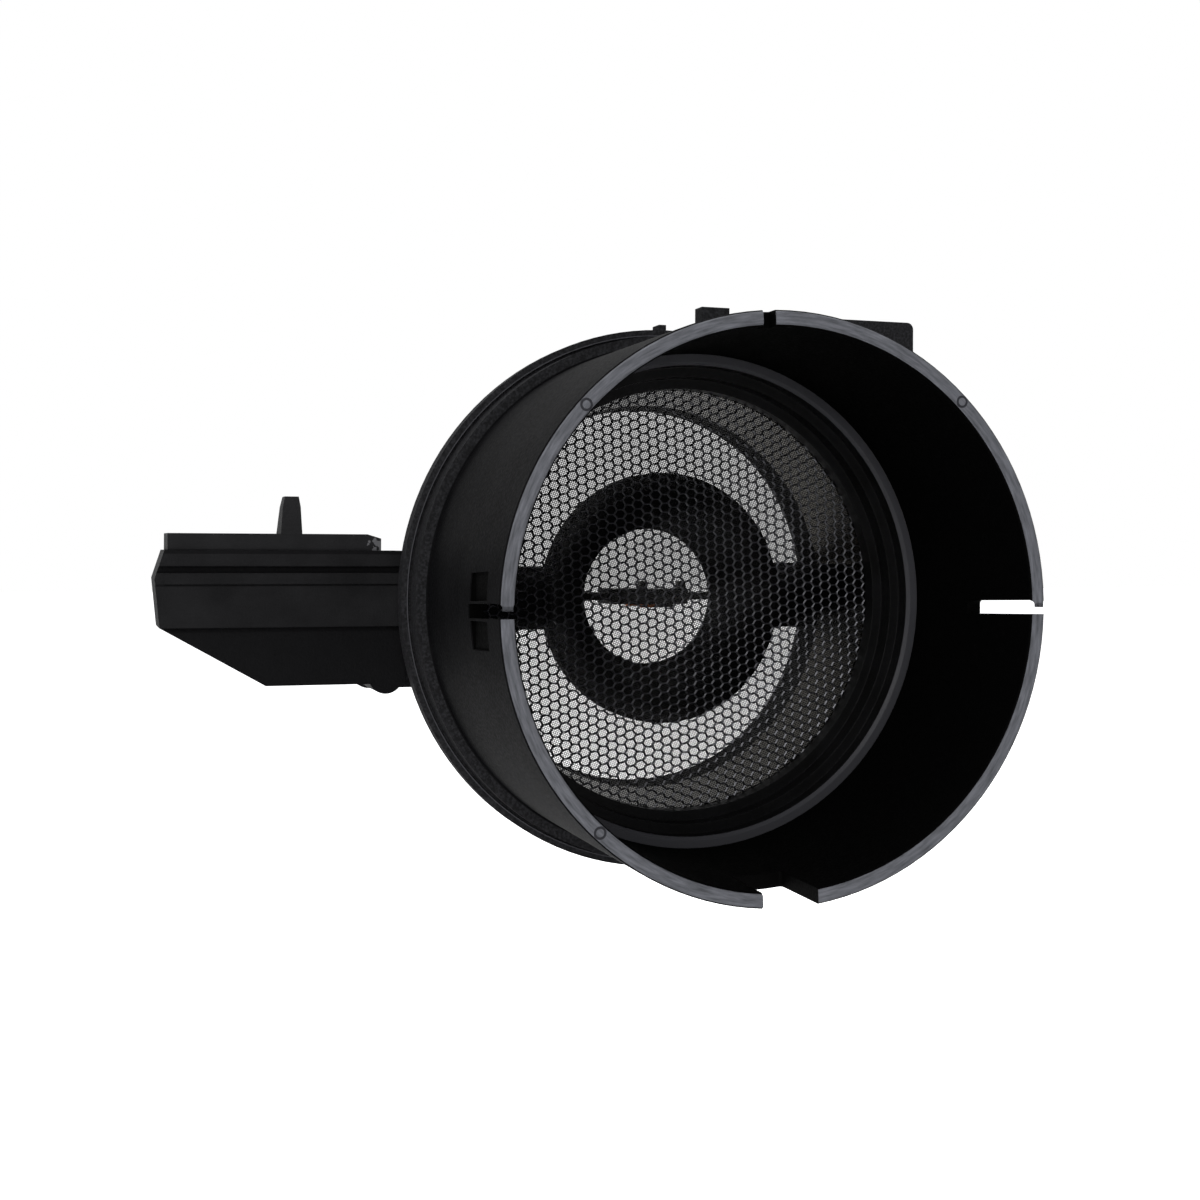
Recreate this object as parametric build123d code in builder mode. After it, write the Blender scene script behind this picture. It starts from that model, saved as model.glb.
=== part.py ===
"""Hot-film mass airflow sensor for an engine's air intake.

The duct's axis is Y, and the air flows towards +Y. The origin is where that axis meets the
inlet rim, +Z is up and +X is to the right of someone who looks into the inlet. The sensor
module hangs on the duct's left side, at -X. All sizes are in millimetres.
"""

import os
from math import sqrt

from build123d import *

os.makedirs("parts", exist_ok=True)

# ---------------------------------------------------------------------------
# Driving dimensions
# ---------------------------------------------------------------------------

# Fits
slide_gap = 0.1  # radial gap of rings and inserts that slide into a bore
snug_gap = 0.05  # gap of a small part that is pressed or glued into its seat
seal_chamfer = 0.45  # corners of the ring seals' square sections
cut_overrun = 1.0  # how far a cut runs past the surface that it opens

# Duct housing
inlet_od = 85.0
inlet_wall = 2.3
rim_bevel = 0.4
collar_y = 43.0  # rim to the collar
collar_height = 1.9
flange_y = 47.0  # rim to the flange
flange_height = 1.6  # how far the flange stands out beyond the collar
flange_thickness = 3.0
flange_groove = 0.5  # width and depth of the groove at the collar's foot
screen_seat_y = 41.0  # rim to the step that the screen lies on
screen_seat_step = 3.1
body_wall = 2.4  # wall around the flow insert, behind the flange
insert_stop_step = 0.7
outlet_flare = 2.4  # how far the bore widens from the insert's stop to the outlet
outlet_spigot_length = 5.5
outlet_wall = 2.2
outlet_cone_length = 1.5  # between the body and the wider outlet spigot
outlet_seal_section = 2.0
outlet_seal_stand = 0.8  # how far the ring seal stands out of its groove
outlet_seal_setback = 2.75  # outlet's end to the seal
pocket_wall = 1.7  # wall left between the collar and the pocket behind it
pocket_depth = 5.0
pocket_ribs = 16
pocket_rib_width = 1.2

# Cut-outs of the inlet rim
rim_turn = 2.2  # degrees that they are turned about the duct's axis, +X towards +Z
side_slot_width = 2.1
side_slot_length = 17.0
top_notch_x = -1.4
top_notch_width = 2.0
top_notch_depth = 2.5
bottom_notch_x = -0.9
bottom_notch_width = 8.7
bottom_notch_depth = 12.0
notch_corner_r = 0.6
recess_start_y = 6.6
recess_length = 9.4
recess_width = 4.1
recess_depth = 0.8
recess_offset = 3.45  # slot's centre line to the recess's

# Features around the flange
tab_x = 9.4
tab_width = 5.2
tab_height = 4.4
nub_x = -0.5
nub_width = 1.3
nub_height = 0.9
ear_side = 0.4  # how far the ear's right side lies beyond the flange's radius
ear_top = 3.0  # how far its top lies beyond the flange's radius
ear_width = 15.0
ear_height = 18.0
ear_corner_r = 1.2
ear_thickness = 6.0
ear_hole_edge = 7.2  # hole's centre to the ear's right side and top
bush_wall = 1.0
bush_bore_d = 6.4

# Screen and its ring
screen_thickness = 0.6
screen_ring_length = 8.4
screen_ring_lip = 1.8  # width of the ring's front face
screen_ring_tread = 2.9  # depth of each of its steps
screen_ring_bevel = 0.5
screen_border = 5.0
mesh_pitch = 6.0  # between the columns and rows of the honeycomb
mesh_web = 1.1

# Flow insert
insert_length = 24.0
insert_wall = 2.0
lip_drop = 1.8  # how far the insert's bore narrows down to its lip
lip_depth = 19.5  # front of the insert to the lip
insert_flare = 1.6
nozzle_lead = 11.0  # front of the nozzle ring to the probe's axis
nozzle_od = 43.0
nozzle_rim = 3.6  # width of the ring's straight outside, in front of its cone
nozzle_back_d = 34.4
nozzle_length = 16.5
nozzle_edge = 0.8
funnel_length = 8.5
throat_d = 23.8
throat_length = 1.0
diffuser_step = 3.2  # how far the passage widens from its throat to the ring's back
arm_height = 10.4
arm_front_inset = 0.6  # front of the nozzle ring to the arms
arm_back_inset = 0.4  # arms to the ring's back
foot_width = 5.2  # the right arm's wall-side end, from the lip
foot_overlap = 1.2  # how far the arm runs into its foot
foot_height = 8.2
foot_rise = 1.8
foot_front = 3.4  # how far the foot stands forward of the arm

# Sensor module: the box
module_gap = 1.0  # flange to the box
pad_height = 4.5  # duct's body to the face that the module seats on
pad_margin = 1.6  # neck to the pad's top and bottom
screw_room = 3.0  # outlet spigot to that face, so that the screws can be reached
box_length = 39.4
box_depth = 12.0
box_above = 7.9
box_side_wall = 2.6
box_wall = 2.2
box_inner_end = 9.2  # pad to the cavity
box_floor = 3.0  # probe's axis down to the cavity's floor
corner_cut_length = 16.2
corner_cut_height = 9.6
band_height = 2.6
band_groove = 1.1
band_groove_depth = 0.6
rib_height = 1.8
rib_stand = 0.4
rib_end = 1.5  # how far the left end bulges out to the rib
face_end = 0.7  # how far it still stands out below the main face
face_height = 7.0
lower_face_setback = 1.0
core_pocket_depth = 8.0  # coring in the box's underside half, open at its back
core_pocket_height = 5.6
core_pocket_web = 1.6
core_pocket_width = 7.4
core_pocket_count = 3

# Sensor module: screws
boss_inset = 3.4  # pad to the screws' axes
boss_r = 2.9
upper_boss_drop = 3.2
lower_boss_rise = 1.2
boss_front_inset = 1.4
bracket_thickness = 2.5
bracket_reach = 7.2
screw_d = 3.0
screw_tip_gap = 0.5  # screw's tip to the bottom of its hole
screw_head_r = 2.9
screw_head_height = 2.2
screw_head_bevel = 0.5
screw_drive_r = 1.3
screw_drive_depth = 1.2
screw_hole_gap = 0.2
insert_nut_wall = 0.45
insert_nut_length = 6.0

# Sensor module: neck and probe
probe_inset = 6.2  # box's front to the probe's axis
neck_d = 11.0
neck_shortfall = 0.6
seal_section = 1.7
seal_inset = 2.8  # pad to the ring seal's centre
sleeve_width = 8.4
sleeve_height = 5.8
sleeve_gap = 1.6  # nozzle ring to the sleeve's end
carrier_width = 6.4
carrier_thickness = 1.24
carrier_end_gap = 0.6  # carrier's tail to the end of the box's cavity
carrier_seat = 0.6  # how deep its tip sits in the passage's wall
frame_length = 14.6
frame_width = 8.0
frame_thickness = 2.64
frame_corner_r = 0.8

# Sensor elements
film_width = 5.0
film_thickness = 0.35
hot_film_length = 7.4
hot_film_x = 2.4
air_film_length = 3.4
air_film_x = -4.6
film_ledge = 0.8
terminal_size = 1.4
terminal_x = (-1.3, 5.9)
lead_length = 6.0
lead_width = 1.6
lead_thickness = 0.6
lead_x = 1.2

# Circuit
heat_sink_thickness = 1.4
board_thickness = 0.64
board_margin = 0.4
spacer_end_gap = 3.2  # spacer to the end of the box's cavity
chip_size = 3.2
chip_height = 1.0
power_length = 5.2
power_width = 5.6
power_height = 1.8
resistor_count = 4
resistor_pitch = 1.3
resistor_width = 0.8
resistor_length = 1.6
resistor_height = 0.45
capacitor_count = 2
capacitor_pitch = 1.7
capacitor_width = 1.2
capacitor_length = 2.0
capacitor_height = 0.9

# Lid
lid_thickness = 2.7
lid_margin = 0.5
lid_inner_end = 4.4  # pad to the lid
lid_slope_length = 2.3  # at the lid's inner end
lid_slope_height = 0.7
skirt_depth = 1.3
skirt_wall = 1.0
skirt_gap = 0.15
seal_width = 1.0
seal_height = 0.6
seal_margin = 0.6  # outside of the box to the groove of the lid's seal

# Connector
shroud_width = 18.4
shroud_height = 12.6
shroud_length = 16.0
shroud_wall = 1.6
shroud_corner_r = 2.4
shroud_inset = 17.0  # pad to the connector's centre
socket_floor = 1.5
pin_z = 3.1
pin_count = 5
pin_pitch = 2.8
pin_width = 1.4
pin_thickness = 0.6
pin_length = 17.0
pin_inside = 2.9  # how far the pins stand into the cavity
latch_top_width = 2.4
latch_head_width = 3.1
latch_foot_width = 4.0
latch_head_height = 1.8
latch_height = 7.8
latch_length = 7.0
latch_setback = 4.0
strap_width = 0.9
strap_thickness = 0.3
strap_foot = 1.0

# ---------------------------------------------------------------------------
# Places that follow from them
# ---------------------------------------------------------------------------

inlet_r = inlet_od / 2
bore_r = inlet_r - inlet_wall
collar_r = inlet_r + collar_height
flange_r = collar_r + flange_height
flange_back_y = flange_y + flange_thickness
insert_bore_r = bore_r - screen_seat_step
body_r = insert_bore_r + body_wall
stop_r = insert_bore_r - insert_stop_step
insert_stop_y = screen_seat_y + insert_length + slide_gap

insert_r = insert_bore_r - slide_gap
entry_r = insert_r - insert_wall
lip_r = entry_r - lip_drop

box_front_y = flange_back_y + module_gap
face_y = box_front_y + rib_stand
box_back_y = box_front_y + box_depth
probe_y = box_front_y + probe_inset
nozzle_front_y = probe_y - nozzle_lead
nozzle_back_y = nozzle_front_y + nozzle_length
nozzle_r = nozzle_od / 2
nozzle_back_r = nozzle_back_d / 2
throat_r = throat_d / 2
arm_front_y = nozzle_front_y + arm_front_inset
arm_back_y = nozzle_back_y - arm_back_inset

bracket_back_y = box_back_y + bracket_thickness
outlet_r = stop_r + outlet_flare + outlet_wall
duct_length = bracket_back_y + outlet_spigot_length
outlet_seal_y = duct_length - outlet_seal_setback

pad_x = -max(body_r + pad_height, outlet_r + screw_room)
box_end_x = pad_x - box_length
box_top_z = box_above
rib_top_z = box_top_z - band_height - band_groove
rib_bottom_z = rib_top_z - rib_height
step_z = rib_bottom_z - face_height
box_bottom_z = step_z - corner_cut_height
boss_x = pad_x - boss_inset
boss_heights = (box_top_z - upper_boss_drop, box_bottom_z + lower_boss_rise)

cavity_left_x = box_end_x + box_side_wall
cavity_right_x = pad_x - box_inner_end
cavity_front_y = face_y + box_wall
cavity_back_y = box_back_y - box_wall
floor_z = -box_floor

shroud_x = pad_x - shroud_inset
shroud_end_y = box_back_y + shroud_length
socket_floor_y = box_back_y + socket_floor
pin_start_y = cavity_back_y - pin_inside
pin_offsets = [(i - (pin_count - 1) / 2) * pin_pitch for i in range(pin_count)]

neck_end_x = -(body_r - neck_shortfall)
neck_r = neck_d / 2
sleeve_end_x = -(nozzle_r + sleeve_gap)
carrier_tip_x = throat_r + diffuser_step + carrier_seat
carrier_tail_x = cavity_left_x + carrier_end_gap


def across(y):
    """The plane across the duct at depth y; extruding by a negative amount goes downstream."""
    return Plane.XZ.offset(-y)


def beside(x):
    """The plane square to X at that x; its own first axis is Y, and its second is Z."""
    return Plane.YZ.offset(x)


def label_and_write(piece, name):
    """Name a finished piece and write it as a STEP file."""
    piece.part.label = name
    export_step(piece.part, f"parts/{name}.step")


# ---------------------------------------------------------------------------
# Duct housing: one moulding, turned about the duct's axis
# ---------------------------------------------------------------------------

with BuildPart() as duct_housing:
    # Outside: inlet spigot, collar, flange with its groove, body and outlet spigot
    with BuildSketch(Plane.XY) as outside:
        with BuildLine():
            Polyline(
                (0, 0),
                (inlet_r, 0),
                (inlet_r, collar_y),
                (collar_r, collar_y),
                (collar_r, flange_y + flange_groove),
                (collar_r + flange_groove, flange_y + flange_groove),
                (collar_r + flange_groove, flange_y),
                (flange_r, flange_y),
                (flange_r, flange_back_y),
                (body_r, flange_back_y),
                (body_r, bracket_back_y - outlet_cone_length),
                (outlet_r, bracket_back_y),
                (outlet_r, duct_length),
                (0, duct_length),
                close=True,
            )
        make_face()
    revolve(axis=Axis.Y)

    # Pocket behind the collar, bridged by ribs
    pocket_r = collar_r - pocket_wall
    with BuildSketch(across(flange_back_y)):
        Circle(pocket_r)
        Circle(body_r, mode=Mode.SUBTRACT)
        with PolarLocations((pocket_r + body_r) / 2, pocket_ribs):
            Rectangle(pocket_r - body_r + 2 * cut_overrun, pocket_rib_width, mode=Mode.SUBTRACT)
    extrude(amount=pocket_depth, mode=Mode.SUBTRACT)

    # Tab and nub on top of the flange
    with BuildSketch(across(flange_y)):
        with Locations((tab_x, flange_r + tab_height)):
            Rectangle(tab_width, tab_height + flange_height, align=(Align.CENTER, Align.MAX))
        with Locations((nub_x, flange_r + nub_height)):
            Rectangle(nub_width, nub_height + flange_height, align=(Align.CENTER, Align.MAX))
    extrude(amount=-flange_thickness)

    # Corner ear
    ear_right_x = flange_r + ear_side
    ear_top_z = flange_r + ear_top
    with BuildSketch(across(flange_back_y)) as ear_outline:
        with Locations((ear_right_x, ear_top_z)):
            Rectangle(ear_width, ear_height, align=(Align.MAX, Align.MAX))
        fillet(ear_outline.vertices().group_by(Axis.X)[-1], ear_corner_r)
    extrude(amount=ear_thickness)

    # Pad and bracket that carry the sensor module
    with BuildSketch(across(flange_back_y)):
        with Locations((pad_x, 0)):
            Rectangle(-pad_x, neck_d + 2 * pad_margin, align=(Align.MIN, Align.CENTER))
    extrude(amount=-(box_back_y - flange_back_y))
    with BuildSketch(across(box_back_y)) as bracket_outline:
        with Locations((pad_x - bracket_reach, boss_heights[1] - boss_r)):
            Rectangle(
                -(pad_x - bracket_reach),
                boss_heights[0] - boss_heights[1] + 2 * boss_r,
                align=(Align.MIN, Align.MIN),
            )
        fillet(bracket_outline.vertices().group_by(Axis.X)[0], boss_r)
    extrude(amount=-bracket_thickness)
    with BuildSketch(across(box_back_y)):
        with Locations(*[(boss_x, z) for z in boss_heights]):
            Circle(screw_d / 2 + screw_hole_gap)
    extrude(amount=-bracket_thickness, mode=Mode.SUBTRACT)

    # Bore: inlet, step for the screen, seat of the flow insert and outlet
    with BuildSketch(Plane.XY):
        with BuildLine():
            Polyline(
                (0, 0),
                (bore_r, 0),
                (bore_r, screen_seat_y),
                (insert_bore_r, screen_seat_y),
                (insert_bore_r, insert_stop_y),
                (stop_r, insert_stop_y),
                (outlet_r - outlet_wall, duct_length),
                (0, duct_length),
                close=True,
            )
        make_face()
    revolve(axis=Axis.Y, mode=Mode.SUBTRACT)
    rim_edges = duct_housing.edges().filter_by(GeomType.CIRCLE).group_by(Axis.Y)[0]
    chamfer(rim_edges, rim_bevel)

    # Port for the module's neck
    with BuildSketch(beside(pad_x)):
        with Locations((probe_y, 0)):
            Circle(neck_r + slide_gap)
    extrude(amount=-(insert_bore_r - cut_overrun) - pad_x, mode=Mode.SUBTRACT)

    # Slots through both sides of the rim, and the recesses beside them
    side_plane = Plane.YZ.rotated((-rim_turn, 0, 0))
    with BuildSketch(side_plane) as side_slot:
        Rectangle(side_slot_length, side_slot_width, align=(Align.MIN, Align.CENTER))
        fillet(side_slot.vertices().group_by(Axis.Y)[-1], notch_corner_r)
    extrude(amount=inlet_r + cut_overrun, both=True, mode=Mode.SUBTRACT)
    for side in (-1, 1):
        with BuildSketch(side_plane.offset(side * (inlet_r - recess_depth))):
            with Locations((recess_start_y, recess_offset), (recess_start_y, -recess_offset)):
                Rectangle(recess_length, recess_width, align=(Align.MIN, Align.CENTER))
        extrude(amount=side * (recess_depth + cut_overrun), mode=Mode.SUBTRACT)

    # Notches at the top and the bottom of the rim
    notch_plane = Plane.XY.rotated((0, -rim_turn, 0))
    with BuildSketch(notch_plane):
        with Locations((top_notch_x, 0)):
            Rectangle(top_notch_width, top_notch_depth, align=(Align.CENTER, Align.MIN))
    extrude(amount=inlet_r + cut_overrun, mode=Mode.SUBTRACT)
    with BuildSketch(notch_plane) as bottom_notch:
        with Locations((bottom_notch_x, 0)):
            Rectangle(bottom_notch_width, bottom_notch_depth, align=(Align.CENTER, Align.MIN))
        fillet(bottom_notch.vertices().group_by(Axis.Y)[-1], notch_corner_r)
    extrude(amount=-(inlet_r + cut_overrun), mode=Mode.SUBTRACT)

    # Groove of the outlet's ring seal
    with BuildSketch(Plane.XY):
        with Locations((outlet_r + outlet_seal_stand, outlet_seal_y)):
            Rectangle(
                outlet_seal_section, outlet_seal_section + 2 * slide_gap, align=(Align.MAX, Align.CENTER)
            )
    revolve(axis=Axis.Y, mode=Mode.SUBTRACT)

    # Hole for the ear's bush
    ear_hole_x = ear_right_x - ear_hole_edge
    ear_hole_z = ear_top_z - ear_hole_edge
    bush_r = bush_bore_d / 2 + bush_wall
    with BuildSketch(across(flange_back_y)):
        with Locations((ear_hole_x, ear_hole_z)):
            Circle(bush_r + snug_gap)
    extrude(amount=ear_thickness, mode=Mode.SUBTRACT)

label_and_write(duct_housing, "duct_housing")

with BuildPart() as ear_bush:
    with BuildSketch(across(flange_back_y)):
        with Locations((ear_hole_x, ear_hole_z)):
            Circle(bush_r)
            Circle(bush_bore_d / 2, mode=Mode.SUBTRACT)
    extrude(amount=ear_thickness)

label_and_write(ear_bush, "ear_bush")

with BuildPart() as outlet_seal:
    with BuildSketch(Plane.XY) as outlet_section:
        with Locations((outlet_r + outlet_seal_stand - outlet_seal_section / 2, outlet_seal_y)):
            Rectangle(outlet_seal_section, outlet_seal_section)
        chamfer(outlet_section.vertices(), seal_chamfer)
    revolve(axis=Axis.Y)

label_and_write(outlet_seal, "outlet_seal")

# ---------------------------------------------------------------------------
# Screen, and the stepped ring that holds it on its seat
# ---------------------------------------------------------------------------

screen_r = bore_r - slide_gap
screen_front_y = screen_seat_y - screen_thickness

with BuildPart() as inlet_screen:
    open_r = screen_r - screen_border
    cell_r = (mesh_pitch - mesh_web) / sqrt(3)
    column_pitch = mesh_pitch * sqrt(3) / 2
    half_count = int(open_r / column_pitch) + 1
    cells = []
    for column in range(-half_count, half_count + 1):
        for row in range(-half_count, half_count + 1):
            cell_x = column * column_pitch
            cell_z = (row + (column % 2) / 2) * mesh_pitch
            if sqrt(cell_x**2 + cell_z**2) + cell_r < open_r:
                cells.append((cell_x, cell_z))
    with BuildSketch(across(screen_front_y)):
        Circle(screen_r)
        with Locations(*cells):
            RegularPolygon(cell_r, 6, mode=Mode.SUBTRACT)
    extrude(amount=-screen_thickness)

label_and_write(inlet_screen, "inlet_screen")

with BuildPart() as screen_ring:
    ring_front_y = screen_front_y - screen_ring_length
    ring_step = (screen_r - screen_ring_lip - entry_r) / 2
    with BuildSketch(Plane.XY):
        with BuildLine():
            Polyline(
                (screen_r, ring_front_y),
                (screen_r, screen_front_y),
                (entry_r, screen_front_y),
                (entry_r, ring_front_y + 2 * screen_ring_tread),
                (entry_r + ring_step, ring_front_y + 2 * screen_ring_tread),
                (entry_r + ring_step, ring_front_y + screen_ring_tread),
                (entry_r + 2 * ring_step, ring_front_y + screen_ring_tread),
                (entry_r + 2 * ring_step, ring_front_y + screen_ring_bevel),
                (entry_r + 2 * ring_step + screen_ring_bevel, ring_front_y),
                close=True,
            )
        make_face()
    revolve(axis=Axis.Y)

label_and_write(screen_ring, "screen_ring")

# ---------------------------------------------------------------------------
# Flow insert: venturi wall, arms and nozzle ring, moulded in one
# ---------------------------------------------------------------------------

with BuildPart() as flow_insert:
    insert_back_y = screen_seat_y + insert_length
    with BuildSketch(Plane.XY):
        with BuildLine():
            Polyline(
                (entry_r, screen_seat_y),
                (insert_r, screen_seat_y),
                (insert_r, insert_back_y),
                (lip_r + insert_flare, insert_back_y),
                (lip_r, screen_seat_y + lip_depth),
                close=True,
            )
        make_face()
    revolve(axis=Axis.Y)

    # Arms: the left one carries the probe, the right one has a raised foot at the wall
    wall_mid_r = insert_r - insert_wall / 2
    foot_x = lip_r - foot_width
    with BuildSketch(across(arm_front_y)):
        with Locations((-wall_mid_r, 0)):
            Rectangle(
                wall_mid_r + foot_x + foot_overlap, arm_height, align=(Align.MIN, Align.CENTER)
            )
    extrude(amount=-(arm_back_y - arm_front_y))
    with BuildSketch(across(arm_front_y - foot_front)):
        with Locations((foot_x, foot_rise)):
            Rectangle(wall_mid_r - foot_x, foot_height, align=(Align.MIN, Align.CENTER))
    extrude(amount=-(arm_back_y - arm_front_y + foot_front))

    # Nozzle ring
    with BuildSketch(Plane.XY):
        with BuildLine():
            Polyline(
                (0, nozzle_front_y),
                (nozzle_r - nozzle_edge / 2, nozzle_front_y),
                (nozzle_r, nozzle_front_y + nozzle_edge),
                (nozzle_r, nozzle_front_y + nozzle_rim),
                (nozzle_back_r, nozzle_back_y - nozzle_edge),
                (nozzle_back_r - nozzle_edge, nozzle_back_y),
                (0, nozzle_back_y),
                close=True,
            )
        make_face()
    revolve(axis=Axis.Y)

    # Its passage: funnel, throat and diffuser
    throat_y = nozzle_front_y + funnel_length
    diffuser_y = throat_y + throat_length
    funnel_r = nozzle_r - nozzle_edge
    with BuildSketch(Plane.XY):
        with BuildLine():
            Line((0, nozzle_front_y), (funnel_r, nozzle_front_y))
            RadiusArc((funnel_r, nozzle_front_y), (throat_r, throat_y), -2 * funnel_length)
            Line((throat_r, throat_y), (throat_r, diffuser_y))
            Line((throat_r, diffuser_y), (throat_r + diffuser_step, nozzle_back_y))
            Line((throat_r + diffuser_step, nozzle_back_y), (0, nozzle_back_y))
            Line((0, nozzle_back_y), (0, nozzle_front_y))
        make_face()
    revolve(axis=Axis.Y, mode=Mode.SUBTRACT)

    # Channel of the probe's sleeve, and the slot that the carrier passes through
    with BuildSketch(beside(-insert_bore_r)):
        with Locations((probe_y, 0)):
            Rectangle(sleeve_width + 2 * slide_gap, sleeve_height + 2 * slide_gap)
    extrude(amount=sleeve_end_x + slide_gap + insert_bore_r, mode=Mode.SUBTRACT)
    with BuildSketch(beside(sleeve_end_x)):
        with Locations((probe_y, 0)):
            Rectangle(carrier_width + 2 * snug_gap, carrier_thickness + 2 * snug_gap)
    extrude(amount=carrier_tip_x + snug_gap - sleeve_end_x, mode=Mode.SUBTRACT)

label_and_write(flow_insert, "flow_insert")

# ---------------------------------------------------------------------------
# Sensor module: box, neck, probe sleeve and connector shroud, moulded in one
# ---------------------------------------------------------------------------

with BuildPart() as module_housing:
    # Box, with its slanting lower corner
    with BuildSketch(across(face_y)) as box_outline:
        with BuildLine():
            Polyline(
                (pad_x, box_top_z),
                (box_end_x, box_top_z),
                (box_end_x - rib_end, (rib_top_z + rib_bottom_z) / 2),
                (box_end_x - face_end, step_z),
                (box_end_x + corner_cut_length, box_bottom_z),
                (pad_x, box_bottom_z),
                close=True,
            )
        make_face()
    extrude(amount=-(box_back_y - face_y))

    # Rib that runs along the front
    with BuildSketch(across(box_front_y)):
        with Locations((pad_x, rib_top_z)):
            Rectangle(box_length, rib_height, align=(Align.MAX, Align.MAX))
    extrude(amount=-box_depth)

    # Groove above the rib, and the set-back lower face
    with BuildSketch(across(box_front_y)):
        with Locations((pad_x, rib_top_z)):
            Rectangle(box_length + rib_end, band_groove, align=(Align.MAX, Align.MIN))
    extrude(amount=-(rib_stand + band_groove_depth), mode=Mode.SUBTRACT)
    with BuildSketch(across(box_front_y)):
        with Locations((pad_x, step_z)):
            Rectangle(
                box_length + rib_end, step_z - box_bottom_z, align=(Align.MAX, Align.MAX)
            )
    extrude(amount=-(rib_stand + lower_face_setback), mode=Mode.SUBTRACT)

    # Screw bosses
    with BuildSketch(across(box_front_y + boss_front_inset)):
        with Locations(*[(boss_x, z) for z in boss_heights]):
            Circle(boss_r)
    extrude(amount=-(box_depth - boss_front_inset))

    # Cavity for the circuit
    with BuildSketch(Plane.XY.offset(floor_z)) as cavity:
        with Locations((cavity_left_x, cavity_front_y)):
            Rectangle(
                cavity_right_x - cavity_left_x,
                cavity_back_y - cavity_front_y,
                align=(Align.MIN, Align.MIN),
            )
    extrude(amount=box_top_z - floor_z, mode=Mode.SUBTRACT)

    # Groove for the lid's seal
    seal_left_x = box_end_x + lid_margin + seal_margin
    seal_right_x = pad_x - lid_inner_end - seal_margin
    seal_front_y = face_y + seal_margin
    seal_back_y = box_back_y - seal_margin
    seal_centre = ((seal_left_x + seal_right_x) / 2, (seal_front_y + seal_back_y) / 2)
    seal_size = (seal_right_x - seal_left_x, seal_back_y - seal_front_y)
    with BuildSketch(Plane.XY.offset(box_top_z - seal_height)):
        with Locations(seal_centre):
            Rectangle(*seal_size)
            Rectangle(
                seal_size[0] - 2 * seal_width, seal_size[1] - 2 * seal_width, mode=Mode.SUBTRACT
            )
    extrude(amount=seal_height, mode=Mode.SUBTRACT)

    # Coring pockets below the connector, open at the back
    with BuildSketch(across(box_back_y)):
        with Locations((shroud_x, floor_z - core_pocket_web)):
            with GridLocations(
                core_pocket_width + core_pocket_web, 1, core_pocket_count, 1
            ):
                Rectangle(
                    core_pocket_width, core_pocket_height, align=(Align.CENTER, Align.MAX)
                )
    extrude(amount=core_pocket_depth, mode=Mode.SUBTRACT)

    # Neck and probe sleeve
    with BuildSketch(beside(pad_x)):
        with Locations((probe_y, 0)):
            Circle(neck_r)
    extrude(amount=neck_end_x - pad_x)
    with BuildSketch(beside(neck_end_x)):
        with Locations((probe_y, 0)):
            Rectangle(sleeve_width, sleeve_height)
    extrude(amount=sleeve_end_x - neck_end_x)

    # Ring groove of the neck
    groove_floor_r = neck_r + slide_gap - seal_section
    with BuildSketch(beside(pad_x + seal_inset - seal_section / 2 - slide_gap)):
        with Locations((probe_y, 0)):
            Circle(neck_r)
            Circle(groove_floor_r, mode=Mode.SUBTRACT)
    extrude(amount=seal_section + 2 * slide_gap, mode=Mode.SUBTRACT)

    # Slot of the carrier, from the cavity to the sleeve's end
    with BuildSketch(beside(cavity_right_x)):
        with Locations((probe_y, 0)):
            Rectangle(carrier_width + 2 * snug_gap, carrier_thickness + 2 * snug_gap)
    extrude(amount=sleeve_end_x - cavity_right_x, mode=Mode.SUBTRACT)

    # Connector shroud with its latch rib
    with BuildSketch(across(box_back_y)) as shroud_outline:
        with Locations((shroud_x, pin_z)):
            RectangleRounded(shroud_width, shroud_height, shroud_corner_r)
    extrude(amount=-shroud_length)
    with BuildSketch(across(socket_floor_y)):
        with Locations((shroud_x, pin_z)):
            RectangleRounded(
                shroud_width - 2 * shroud_wall,
                shroud_height - 2 * shroud_wall,
                shroud_corner_r - shroud_wall / 2,
            )
    extrude(amount=-(shroud_length - socket_floor), mode=Mode.SUBTRACT)
    shroud_top_z = pin_z + shroud_height / 2
    latch_front_y = shroud_end_y - latch_setback - latch_length
    latch_top_z = shroud_top_z + latch_height
    with BuildSketch(across(latch_front_y)):
        with BuildLine():
            Polyline(
                (shroud_x - latch_foot_width / 2, shroud_top_z - shroud_wall / 2),
                (shroud_x - latch_head_width / 2, latch_top_z - latch_head_height),
                (shroud_x - latch_top_width / 2, latch_top_z),
                (shroud_x + latch_top_width / 2, latch_top_z),
                (shroud_x + latch_head_width / 2, latch_top_z - latch_head_height),
                (shroud_x + latch_foot_width / 2, shroud_top_z - shroud_wall / 2),
                close=True,
            )
        make_face()
    extrude(amount=-latch_length)
    with BuildSketch(beside(shroud_x - latch_foot_width / 2)):
        with BuildLine():
            Polyline(
                (latch_front_y + latch_length / 2, latch_top_z),
                (latch_front_y + latch_length, latch_top_z),
                (latch_front_y + latch_length, shroud_top_z),
                close=True,
            )
        make_face()
    extrude(amount=latch_foot_width, mode=Mode.SUBTRACT)

    # Seats of the pins and of the screw inserts
    with BuildSketch(across(cavity_back_y)):
        with Locations(*[(shroud_x + offset, pin_z) for offset in pin_offsets]):
            Rectangle(pin_width, pin_thickness)
    extrude(amount=-(socket_floor_y - cavity_back_y), mode=Mode.SUBTRACT)
    nut_r = screw_d / 2 + snug_gap + insert_nut_wall
    with BuildSketch(across(box_back_y)):
        with Locations(*[(boss_x, z) for z in boss_heights]):
            Circle(nut_r + snug_gap)
    extrude(amount=insert_nut_length, mode=Mode.SUBTRACT)

label_and_write(module_housing, "module_housing")

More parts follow.
